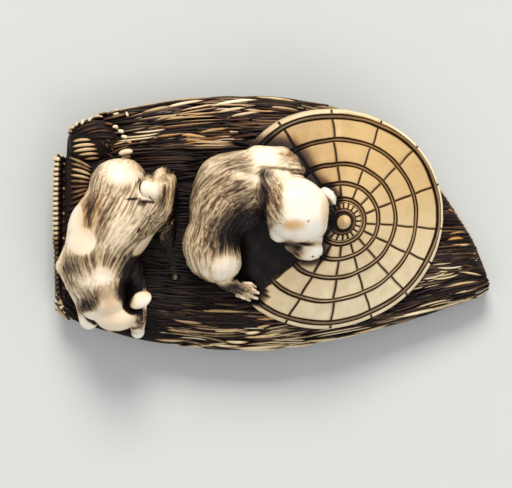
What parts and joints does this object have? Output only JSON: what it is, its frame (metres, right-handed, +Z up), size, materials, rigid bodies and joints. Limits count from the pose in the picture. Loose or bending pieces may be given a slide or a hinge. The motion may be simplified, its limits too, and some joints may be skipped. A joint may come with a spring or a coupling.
{
  "type": "netsuke",
  "caption": "Carved ivory toggle: puppies at play on a folded straw rain cape with a round ribbed hat, flat underneath with a curved cord channel.",
  "frame": {"origin": "on the standing surface, under the middle of the cape's outline", "axes": "+X from the collar end of the cape to its point, +Y across the cape to its far edge, +Z up from the flat underside"},
  "size_m": [0.0501, 0.029, 0.0158],
  "materials": {
    "ivory": "polished ivory, warm cream, stained dark brown in the carving"
  },
  "bodies": {
    "root": {"netsuke": "ivory"}
  },
  "joints": []
}
